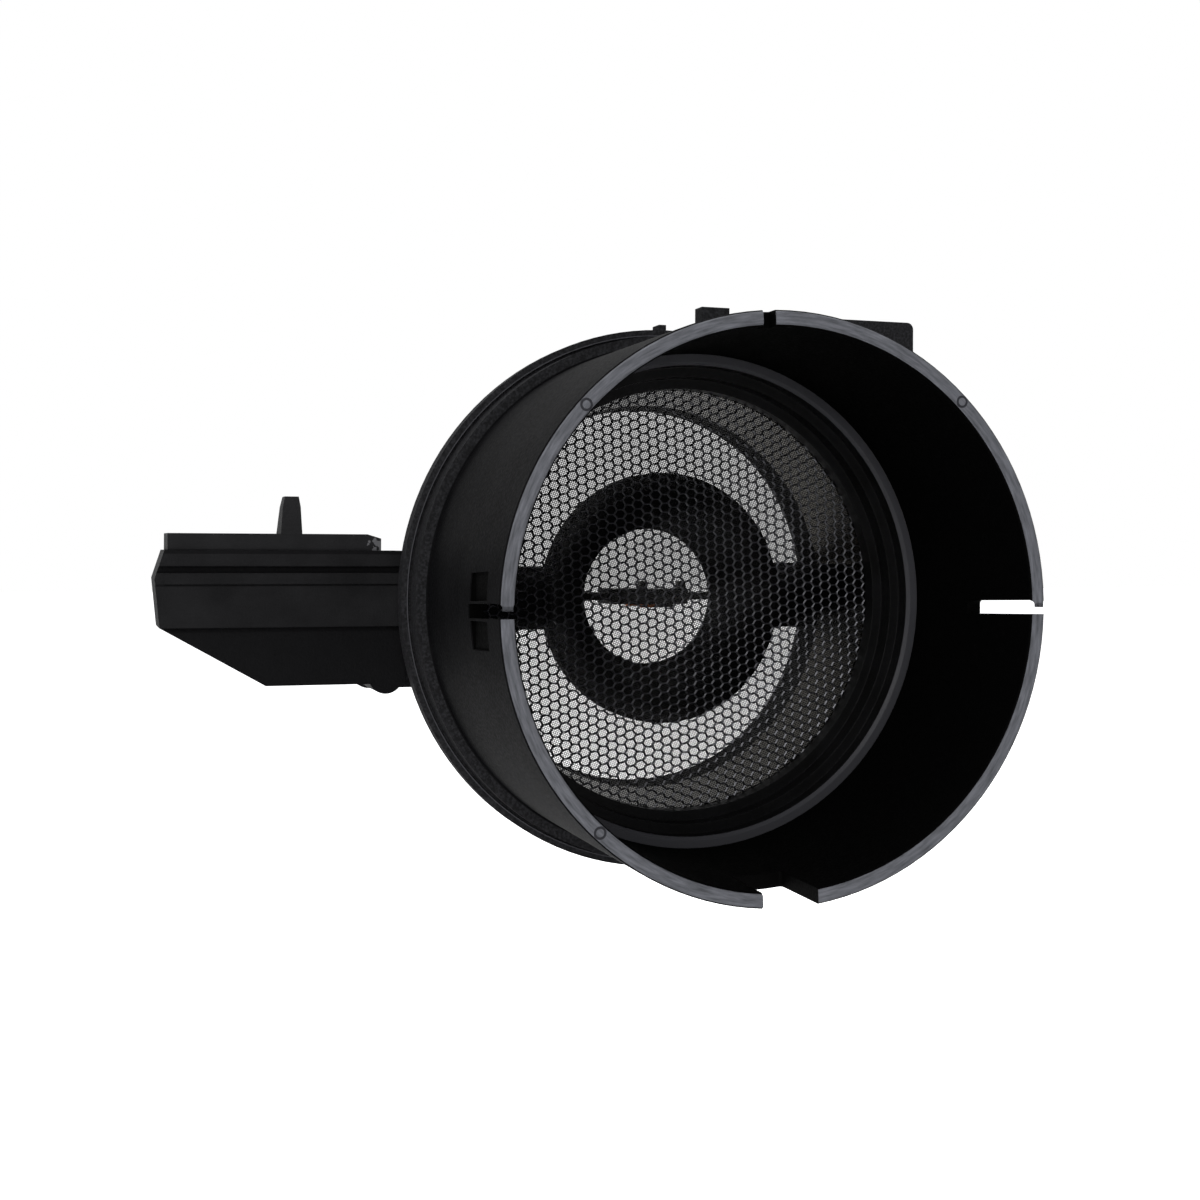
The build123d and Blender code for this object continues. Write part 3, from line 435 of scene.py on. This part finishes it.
marks = 0.0
for angle in MARK_ANGLES:
    centre = Vector((cos(radians(angle)), sin(radians(angle)), 0)) * RIM_MIDDLE
    away = add(tree, "ShaderNodeVectorMath", {0: at.face, 1: centre}, operation="DISTANCE")
    mark = zone(
        tree, away.outputs["Value"], MARK_RADIUS - MARK_LINE, MARK_RADIUS + MARK_LINE, inside=on_rim,
    )
    marks = add(tree, "ShaderNodeMath", {0: mark, 1: marks}, operation="MAXIMUM").outputs[0]
overlay(duct, marks, linear("#29292c"))
normal, skin = fed(duct, "Normal")
engraved = add(tree, "ShaderNodeBump", {
    "Height": marks, "Distance": MARK_DEPTH, "Normal": skin,
}, invert=True)
tree.links.new(engraved.outputs[0], normal)
dress("duct_housing", duct)
print("The rim keeps", len(MARK_ANGLES), "ejector marks")

# %% [markdown]
# ## Flow insert and screen ring
#
# The insert guides the air, so its mould is polished and its wall has a real gloss: it shows
# the white sweep behind the outlet as a warm grey. The wall's base colour is a warm grey too,
# as painted light from the outlet. The ring in front of the screen comes from a plainer mould.

# %% Insert: its wall shines, and its nozzle ring is matt
WALL_EDGE = 32.6 * MM  # the wall lies outside this radius
LIP_SHADE = 55.0 * MM  # behind it the wall turns to the lip, which is rougher and gets no painted light, so it stays dark
MATTER_REST = 0.55  # how much rougher the nozzle ring and arms are than the wall

# a polished mould gives the wall real gloss, and a blasted one leaves the rest dull
insert = moulding(
    "polished_polyamide", "#050505", "#090909", gloss=0.68, roughness=0.28, grain=0.9, relief=0.02,
)
tree = insert.node_tree
at = spots(tree)
on_wall = zone(tree, at.radius, low=WALL_EDGE, inside=zone(tree, at.y, high=LIP_SHADE))
# painted light: the wall's base is a warm grey for the light that reaches it from the outlet
overlay(insert, on_wall, linear("#26241f"))
sheen_colour = add(tree, "ShaderNodeMix", {
    0: on_wall, 6: linear("#1e1e1e"), 7: linear("#fff3e0"),
}, data_type="RGBA")
tree.links.new(
    sheen_colour.outputs[2], tree.nodes["Principled BSDF"].inputs["Specular Tint"],
)
off_wall = add(tree, "ShaderNodeMath", {0: 1.0, 1: on_wall}, operation="SUBTRACT")
roughness, uneven = fed(insert, "Roughness")
rougher = add(tree, "ShaderNodeMath", {
    0: off_wall.outputs[0], 1: MATTER_REST, 2: uneven,
}, operation="MULTIPLY_ADD")
tree.links.new(rougher.outputs[0], roughness)
dress("flow_insert", insert)
print("The wall shines from", round(WALL_EDGE / MM, 1), "mm off the axis outwards")

# %% Ring in front of the screen, with a lip painted a lighter grey as painted light
LIP_FACE = 0.5 * MM
lip_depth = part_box("screen_ring")[0].y + LIP_FACE

# satin: its mould was finer than the duct's and not polished
ring = moulding(
    "satin_polyamide", "#060606", "#0b0b0c", gloss=0.12, roughness=0.45, grain=0.5, relief=0.03,
)
# painted light: the ring's lip is painted a lighter grey than the rest of the ring
on_lip = zone(ring.node_tree, spots(ring.node_tree).y, high=lip_depth)
overlay(ring, on_lip, linear("#303033"))
dress("screen_ring", ring)
print("The ring's lip is rubbed from its front to", round(lip_depth / MM, 1), "mm behind the rim")

# %% [markdown]
# ## Sensor module
#
# The box and its lid are moulded with a spark-eroded grain, which looks dull and even.
# The probe's carrier is a filled plastic that stays flat beside the hot film. The box's
# front has a step, a rib, a groove and the lid's joint, and their shaded lines are kept as
# stretches of height with a darker tone.

# %% Box
# lowest and highest point of each stretch of painted shade in millimetres, and how dark it is;
# the groove, ledge and joint reach a hundredth of a millimetre past the flat faces at their ends
SHADED_STRETCHES = (
    (-40.0, -4.6, 0.8),  # the front below the step, painted darker as shade
    (-5.4, -4.59, 1.0),  # under the step's ledge
    (2.08, 2.42, 0.9),  # under the rib
    (4.19, 5.31, 1.0),  # the groove
    (7.29, 7.91, 0.75),  # the joint under the lid
)
LATCH_HEIGHT = 7.6 * MM  # from its tip down to just above the shroud

# spark erosion gives the box an even, dull grain
box = moulding(
    "grained_polyamide", "#0e0e0f", "#151516", gloss=0.06, roughness=0.60, grain=0.35, relief=0.06,
)
tree = box.node_tree
height = spots(tree).z
# painted shade: each stretch gets a near-black tone
for low, high, share in SHADED_STRETCHES:
    overlay(box, zone(tree, height, low * MM, high * MM, inside=share), linear("#030304"))
latch_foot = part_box("module_housing")[1].z - LATCH_HEIGHT
# painted light: the latch at the top of the box is painted a lighter tone than the box
overlay(box, zone(tree, height, low=latch_foot), linear("#232324"))
dress("module_housing", box)
print("The latch starts", round(latch_foot / MM, 1), "mm above the axis")

# %% Lid, with sealant that has dried pale on its inner end
RESIDUE_REACH = 3.5 * MM
RESIDUE_BLOT = 0.9 * MM
RESIDUE_LEVEL = 0.88  # of the blots' height and the nearness of the end together
MOST_NEARNESS = 0.5
lid_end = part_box("module_lid")[1].x

# the lid comes from its own mould and is a little paler than the box
lid = moulding(
    "lid_polyamide", "#121213", "#19191a", gloss=0.06, roughness=0.60, grain=0.35, relief=0.06,
)
tree = lid.node_tree
at = spots(tree)
toward_end = add(tree, "ShaderNodeMapRange", {
    "Value": at.x,
    "From Min": lid_end - RESIDUE_REACH,
    "From Max": lid_end,
    "To Max": MOST_NEARNESS,
})
blots = add(tree, "ShaderNodeTexNoise", {
    "Vector": at.place, "Scale": 1 / RESIDUE_BLOT, "Detail": 3.0,
})
amount = add(tree, "ShaderNodeMath", {
    0: toward_end.outputs[0], 1: blots.outputs[0],
}, operation="ADD")
overlay(lid, zone(tree, amount.outputs[0], low=RESIDUE_LEVEL), linear("#4c4c4e"))
dress("module_lid", lid)
print("The residue reaches", round(RESIDUE_REACH / MM, 1), "mm along the lid")

# %% Carrier, chips, seals and sealant
# a mineral-filled plastic: flat, stiff and slightly brown
carrier = moulding(
    "polyphenylene_sulphide", "#0e0d0b", "#171510", gloss=0.2, roughness=0.5, grain=0.3, relief=0.02,
)
# epoxy pressed round a chip: even black with a soft shine
epoxy = moulding(
    "moulded_epoxy", "#101010", "#181818", gloss=0.25, roughness=0.5, grain=0.15, relief=0.01, drift=2.0,
)
# rubber seals: black and dull, because the skin takes in the light
rubber = moulding(
    "silicone_rubber", "#0b0b0b", "#121212", gloss=0.12, roughness=0.55, grain=0.4, relief=0.01,
)
# a bead of sealant cures grey and slightly wet-looking
sealant = moulding(
    "silicone_sealant", "#3a3a3a", "#4a4a4a", gloss=0.4, roughness=0.35, grain=0.6, relief=0.03,
)
small_pieces = {
    "sensor_carrier": carrier,
    "control_chip": epoxy,
    "power_module": epoxy,
    "module_seal": rubber,
    "outlet_seal": rubber,
    "lid_seal": sealant,
}
for name, material in small_pieces.items():
    dress(name, material)
print(len(small_pieces), "small moulded pieces are dressed")

# %% [markdown]
# ## Metals and ceramics
#
# The bush and screws are zinc-plated steel, the screw inserts are turned brass, and the
# contacts are tinned bronze. A metal takes its look from its colour and from how rough its
# surface is, so each gets a fine noise on the roughness, drawn out where a tool or a roll
# has marked it. Such marks are a tenth of a millimetre apart or less, too fine to show, and
# are drawn a few times coarser. The circuit lies on white alumina, and its chip parts are
# glazed or fired ceramic.

# %% A function for metals and ceramics
WORK_DRIFT = 0.1  # how far the roughness strays to each side
MARK_HEIGHT = 0.01 * MM


def worked(name, dark, light, metallic, roughness, grain, stretch=(1, 1, 1)):
    """A metal or ceramic; grain is the size of its marks in millimetres."""
    material = bpy.data.materials.new(name)
    material.use_nodes = True
    tree = material.node_tree
    shader = tree.nodes["Principled BSDF"]
    shader.inputs["Metallic"].default_value = metallic
    place = add(tree, "ShaderNodeTexCoord")
    stretched = add(tree, "ShaderNodeMapping", {
        "Vector": place.outputs["Object"], "Scale": stretch,
    })
    strokes = add(tree, "ShaderNodeTexNoise", {
        "Vector": stretched.outputs[0], "Scale": 1 / (grain * MM), "Detail": 3.0,
    })
    colour = add(tree, "ShaderNodeMix", {
        0: strokes.outputs[0], 6: linear(dark), 7: linear(light),
    }, data_type="RGBA")
    uneven = add(tree, "ShaderNodeMapRange", {
        "Value": strokes.outputs[0], "To Min": roughness - WORK_DRIFT, "To Max": roughness + WORK_DRIFT,
    })
    relief = add(tree, "ShaderNodeBump", {"Height": strokes.outputs[0], "Distance": MARK_HEIGHT})
    tree.links.new(colour.outputs[2], shader.inputs["Base Color"])
    tree.links.new(uneven.outputs[0], shader.inputs["Roughness"])
    tree.links.new(relief.outputs[0], shader.inputs["Normal"])
    return material


# %% Metals
METAL = 1.0
CERAMIC = 0.0
TURNED = (1, 6, 1)  # marks run around the axis of a turned piece
ROLLED = (1, 8, 1)  # and along the way that a sheet was rolled

# zinc plating is a pale, faintly yellow grey, and turning leaves fine rings in its shine
zinc = worked("zinc_plated_steel", "#b4b6b8", "#d4d5d2", METAL, roughness=0.34, grain=0.5, stretch=TURNED)
# brass is yellow, with the same rings
brass = worked("turned_brass", "#a8853f", "#cfae63", METAL, roughness=0.32, grain=0.3, stretch=TURNED)
# tin on bronze is a warm white
tinned = worked("tinned_bronze", "#b9bab6", "#d8d8d2", METAL, roughness=0.30, grain=0.4)
# the same tin, gone dull and dark with heat
dull_tin = worked("dull_tin", "#4a4a48", "#6a6a66", METAL, roughness=0.50, grain=0.2)
# bare copper is orange and a little rough
copper = worked("bare_copper", "#c06a34", "#e08a4c", METAL, roughness=0.42, grain=0.3)
# rolled aluminium is a cool pale grey with long soft marks
rolled = worked("rolled_aluminium", "#bfc1c4", "#d9dadb", METAL, roughness=0.36, grain=0.4, stretch=ROLLED)
print("The metals are", [metal.name for metal in (zinc, brass, tinned, dull_tin, copper, rolled)])

# %% Copper shows only where the leads' coat ends beside the film
BARE_MIDDLE = -0.6 * MM
BARE_HALF = 1.2 * MM

tree = copper.node_tree
along = spots(tree).x
overlay(copper, zone(tree, along, high=BARE_MIDDLE - BARE_HALF), linear("#1c1a17"))
overlay(copper, zone(tree, along, low=BARE_MIDDLE + BARE_HALF), linear("#1c1a17"))
print("The bare copper is", round(2 * BARE_HALF / MM, 1), "mm long")

# %% Metal pieces
metal_pieces = {
    "ear_bush": zinc,
    "module_screws": zinc,
    "screw_inserts": brass,
    "connector_pins": tinned,
    "pin_straps": tinned,
    "element_terminals": dull_tin,
    "element_leads": copper,
    "heat_sink": rolled,
    "spacer_block": rolled,
}
for name, material in metal_pieces.items():
    dress(name, material)
print(len(metal_pieces), "metal pieces are dressed")

# %% Ceramics
# alumina is an off-white, dry and matt
alumina = worked("white_alumina", "#d8d6cd", "#e8e6de", CERAMIC, roughness=0.55, grain=0.3)
# a glazed resistor is nearly black with a shine
glazed = worked("glazed_resistor", "#1b1b1d", "#2a2a2c", CERAMIC, roughness=0.30, grain=0.2)
# a fired capacitor is tan
fired = worked("fired_capacitor", "#8a6a48", "#a58360", CERAMIC, roughness=0.45, grain=0.2)
# the glass over the film is grey-green and smooth
glass = worked("passivated_glass", "#565a52", "#6c7066", CERAMIC, roughness=0.25, grain=0.3)
ceramic_pieces = {
    "hybrid_circuit": alumina,
    "chip_resistors": glazed,
    "chip_capacitors": fired,
    "hot_film_element": glass,
    "air_temperature_element": glass,
}
for name, material in ceramic_pieces.items():
    dress(name, material)
print(len(ceramic_pieces), "ceramic pieces are dressed")

# %% [markdown]
# ## Screen
#
# The screen keeps dirt off the hot film and evens out the flow. It is expanded steel with
# cells of 1.6 by 1.5 mm, blackened, and its strands are a quarter of a millimetre wide.
# A fine black gauze lies behind its cells as painted shade, and dims what is seen through them.
# The construction has a coarse disc in its place, and the fine screen stands for it. Each
# cell is drawn as its own six-sided ring, with a ridge in front and behind and a hole in the
# middle, and the rings are then joined where they meet.

# %% One cell of the screen
SCREEN_LOW, SCREEN_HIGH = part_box("inlet_screen")
SCREEN_TURN = radians(-3.0)  # the rows of cells aren't square to the duct
CELL_COLUMN = 1.61 * MM
CELL_ROW = 1.47 * MM
STRAND = 0.25 * MM
CELL_REACH = 36.4 * MM  # the cells run on under the ring that holds the screen
LEVELS = (0.0, 0.25, 0.75, 1.0)  # of the screen's depth: ridge, hole's edges, ridge

# corners of a cell around its centre, as shares of the column and row pitches
CORNERS = ((2 / 3, 0), (1 / 3, 0.5), (-1 / 3, 0.5), (-2 / 3, 0), (-1 / 3, -0.5), (1 / 3, -0.5))
SCREEN_SLACK = 0.02 * MM  # keeps the fine screen inside the coarse one's box
front_y = SCREEN_LOW.y + SCREEN_SLACK
depth = SCREEN_HIGH.y - SCREEN_LOW.y - 2 * SCREEN_SLACK


def screen_point(x, y, z):
    """A point of the screen, turned about the duct's axis."""
    return Vector((
        x * cos(SCREEN_TURN) + z * sin(SCREEN_TURN),
        y,
        z * cos(SCREEN_TURN) - x * sin(SCREEN_TURN),
    ))


def cell_rings(shape, centre_x, centre_z):
    """Add a cell's rings of corners, and join them with faces."""
    rings = []
    for level in LEVELS:
        ridge = level in (LEVELS[0], LEVELS[-1])
        keep = 1.0 if ridge else 1.0 - STRAND / CELL_ROW
        rings.append([
            shape.verts.new(screen_point(
                centre_x + share_x * CELL_COLUMN * keep,
                front_y + level * depth,
                centre_z + share_z * CELL_ROW * keep,
            ))
            for share_x, share_z in CORNERS
        ])
    for outer, inner in zip(rings, rings[1:]):
        for i in range(len(CORNERS)):
            j = (i + 1) % len(CORNERS)
            shape.faces.new((outer[i], inner[i], inner[j], outer[j]))


# %% All the cells
SAME_CORNER = 0.01 * MM  # corners of neighbouring cells that lie closer are one

screen_shape = bmesh.new()
columns = int(CELL_REACH / CELL_COLUMN) + 1
rows = int(CELL_REACH / CELL_ROW) + 1
cells = 0
for column in range(-columns, columns + 1):
    for row in range(-rows, rows + 1):
        centre_x = column * CELL_COLUMN
        centre_z = (row + (column % 2) / 2) * CELL_ROW
        if Vector((centre_x, centre_z)).length < CELL_REACH:
            cell_rings(screen_shape, centre_x, centre_z)
            cells += 1
bmesh.ops.remove_doubles(screen_shape, verts=screen_shape.verts, dist=SAME_CORNER)
bmesh.ops.recalc_face_normals(screen_shape, faces=screen_shape.faces)
print("The screen has", cells, "cells")

# %% The border that the ring clamps
BORDER_STEPS = 96
border_inner = CELL_REACH
border_outer = SCREEN_HIGH.x - SCREEN_SLACK
loops = []
for radius, y in (
    (border_inner, front_y), (border_outer, front_y),
    (border_outer, front_y + depth), (border_inner, front_y + depth),
):
    loops.append([
        screen_shape.verts.new((
            radius * cos(2 * pi * step / BORDER_STEPS),
            y,
            radius * sin(2 * pi * step / BORDER_STEPS),
        ))
        for step in range(BORDER_STEPS)
    ])
for near, far in zip(loops, loops[1:] + loops[:1]):
    for i in range(BORDER_STEPS):
        j = (i + 1) % BORDER_STEPS
        screen_shape.faces.new((near[i], near[j], far[j], far[i]))
print("The border is", round((border_outer - border_inner) / MM, 1), "mm wide")

# %% The gauze behind the cells, a black sheet of painted shade
# a gauze like this has wires a few hundredths of a millimetre thick, too fine to show,
# so it is drawn coarser, and two fifths of it are holes
GAUZE_PITCH = 0.30 * MM
GAUZE_WIRE = 0.108 * MM
GAUZE_TURN = radians(20)
GAUZE_REACH = 36.2 * MM

# a wire's corners are numbered from side to side first, then end to end, then front to back
WIRE_FACES = (
    (0, 1, 3, 2), (4, 6, 7, 5), (0, 2, 6, 4), (1, 5, 7, 3), (0, 4, 5, 1), (2, 3, 7, 6),
)
wires = int(GAUZE_REACH / GAUZE_PITCH)
for layer, turn in enumerate((GAUZE_TURN, GAUZE_TURN + pi / 2)):
    y_front = front_y + depth - (2 - layer) * GAUZE_WIRE
    for wire in range(-wires, wires + 1):
        across = wire * GAUZE_PITCH
        half = (GAUZE_REACH ** 2 - across ** 2) ** 0.5
        corners = [
            screen_shape.verts.new((
                along * cos(turn) - aside * sin(turn), y, along * sin(turn) + aside * cos(turn),
            ))
            for y in (y_front, y_front + GAUZE_WIRE)
            for along in (-half, half)
            for aside in (across - GAUZE_WIRE / 2, across + GAUZE_WIRE / 2)
        ]
        for face in WIRE_FACES:
            screen_shape.faces.new([corners[i] for i in face])
print("The gauze has", 2 * (2 * wires + 1), "wires")

# %% Put the screen in its place
screen_mesh = bpy.data.meshes.new("fine_screen")
screen_shape.to_mesh(screen_mesh)
screen_shape.free()
screen = bpy.data.objects.new("fine_screen", screen_mesh)
bpy.context.collection.objects.link(screen)

# %% Blackened steel: a dark oxide skin that still shines a little, and a black gauze of painted shade
shade_gauze_front = front_y + depth - 2.1 * GAUZE_WIRE  # just in front of its two layers
blackened = worked("blackened_steel", "#545457", "#727276", METAL, roughness=0.45, grain=0.6)
tree = blackened.node_tree
# painted shade: the gauze's wires behind the cells are near black
overlay(blackened, zone(tree, spots(tree).y, low=shade_gauze_front), linear("#0a0a0a"))
screen_mesh.materials.append(blackened)
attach(screen, "root")
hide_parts("inlet_screen")
print("The screen and gauze have", len(screen_mesh.polygons), "faces")
